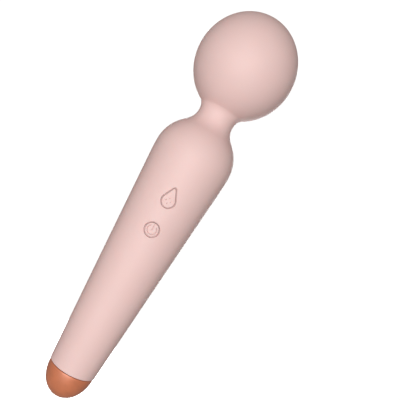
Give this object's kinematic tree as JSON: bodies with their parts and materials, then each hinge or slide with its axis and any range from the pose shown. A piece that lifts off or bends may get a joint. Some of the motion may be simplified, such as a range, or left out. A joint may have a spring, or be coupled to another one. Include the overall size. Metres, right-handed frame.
{
  "type": "handheld wand massager",
  "caption": "Cordless handheld wand massager: pale pink silicone ball head on a flexible neck, tapered handle with a drop shaped and a round button, and a copper coloured tail cap.",
  "frame": {"origin": "centre of the flat at the tail tip, the lowest point of the part", "axes": "+Z along the wand from tail to head, the buttons face -Y, +X to the right seen from the front"},
  "size_m": [0.0472, 0.0472, 0.2],
  "materials": {
    "skin": "matte pale pink silicone",
    "copper": "satin copper coloured metallic finish",
    "abs": "moulded white ABS",
    "nylon": "glass filled grey nylon",
    "black_plastic": "black moulded plastic",
    "steel": "plain steel",
    "spring": "oiled spring steel wire",
    "gold": "gold plated contact",
    "nickel": "nickel plate",
    "battery": "blue shrink wrap",
    "board": "green solder mask",
    "foam": "grey foam",
    "rubber": "black rubber",
    "red_wire": "red insulation",
    "black_wire": "black insulation",
    "bronze": "sintered bronze",
    "ferrite": "dark ferrite or laminated iron",
    "weight": "sintered metal",
    "lens": "white moulded plastic"
  },
  "bodies": {
    "handle": {"handle_skin": "skin", "front_shell": "abs", "rear_shell": "abs", "shell_screw_1": "steel", "shell_screw_2": "steel", "shell_screw_3": "steel", "shell_screw_4": "steel", "neck_collar": "nylon", "tail_cap": "copper", "contact_insulator": "black_plastic", "charge_pin_positive": "gold", "charge_pin_negative": "gold", "tail_magnet_front": "nickel", "tail_magnet_back": "nickel", "cap_carrier": "black_plastic", "cap_seal": "rubber", "charge_board": "board", "battery_cell": "battery", "battery_pad": "foam", "battery_tab": "nickel", "circuit_board": "board", "board_screw_1": "steel", "board_screw_2": "steel", "power_switch": "black_plastic", "mode_switch": "black_plastic", "controller_chip": "black_plastic", "battery_socket": "lens", "motor_socket": "lens", "status_led": "lens", "battery_lead_red": "red_wire", "battery_lead_black": "black_wire", "motor_cable_handle": "black_wire"},
    "neck": {"neck_sleeve": "skin", "neck_spring": "spring", "motor_cable_neck": "black_wire"},
    "head": {"head_skin": "skin", "head_shell_lower": "abs", "head_shell_upper": "abs", "neck_plug": "nylon", "motor_cradle": "nylon", "motor_clamp_ring": "nylon", "motor_mount": "rubber", "motor_can": "steel", "motor_end_cap": "black_plastic", "motor_terminal_left": "nickel", "motor_terminal_right": "nickel", "stator_magnet_left": "ferrite", "stator_magnet_right": "ferrite", "shaft_bush": "bronze", "motor_cable_head": "black_wire"},
    "rotor": {"motor_shaft": "steel", "armature_core": "ferrite", "eccentric_weight": "weight"},
    "power_button": {"power_pad": "skin", "power_key": "abs", "power_switch_stem": "black_plastic"},
    "mode_button": {"mode_pad": "skin", "mode_key": "abs", "mode_switch_stem": "black_plastic"}
  },
  "joints": [
    {"name": "neck_fore_aft", "type": "hinge", "parent": "handle", "child": "neck", "pos_m": [0, 0, 0.1445], "axis": [1, 0, 0], "range_deg": [-20, 20], "stiffness_Nm_per_rad": 1.2, "deforming": ["neck_sleeve", "neck_spring", "motor_cable_neck"]},
    {"name": "neck_side", "type": "hinge", "parent": "neck", "child": "head", "pos_m": [0, 0, 0.1505], "axis": [0, 1, 0], "range_deg": [-20, 20], "stiffness_Nm_per_rad": 1.2, "deforming": ["neck_sleeve", "neck_spring", "motor_cable_neck"]},
    {"name": "motor_spin", "type": "hinge", "parent": "head", "child": "rotor", "pos_m": [0, 0, 0.175], "axis": [0, 0, 1], "continuous": true},
    {"name": "power_press", "type": "slide", "parent": "handle", "child": "power_button", "axis": [0, 1, 0], "range_m": [0, 0.0006], "stiffness_N_per_m": 1500},
    {"name": "mode_press", "type": "slide", "parent": "handle", "child": "mode_button", "axis": [0, 1, 0], "range_m": [0, 0.0006], "stiffness_N_per_m": 1500}
  ]
}
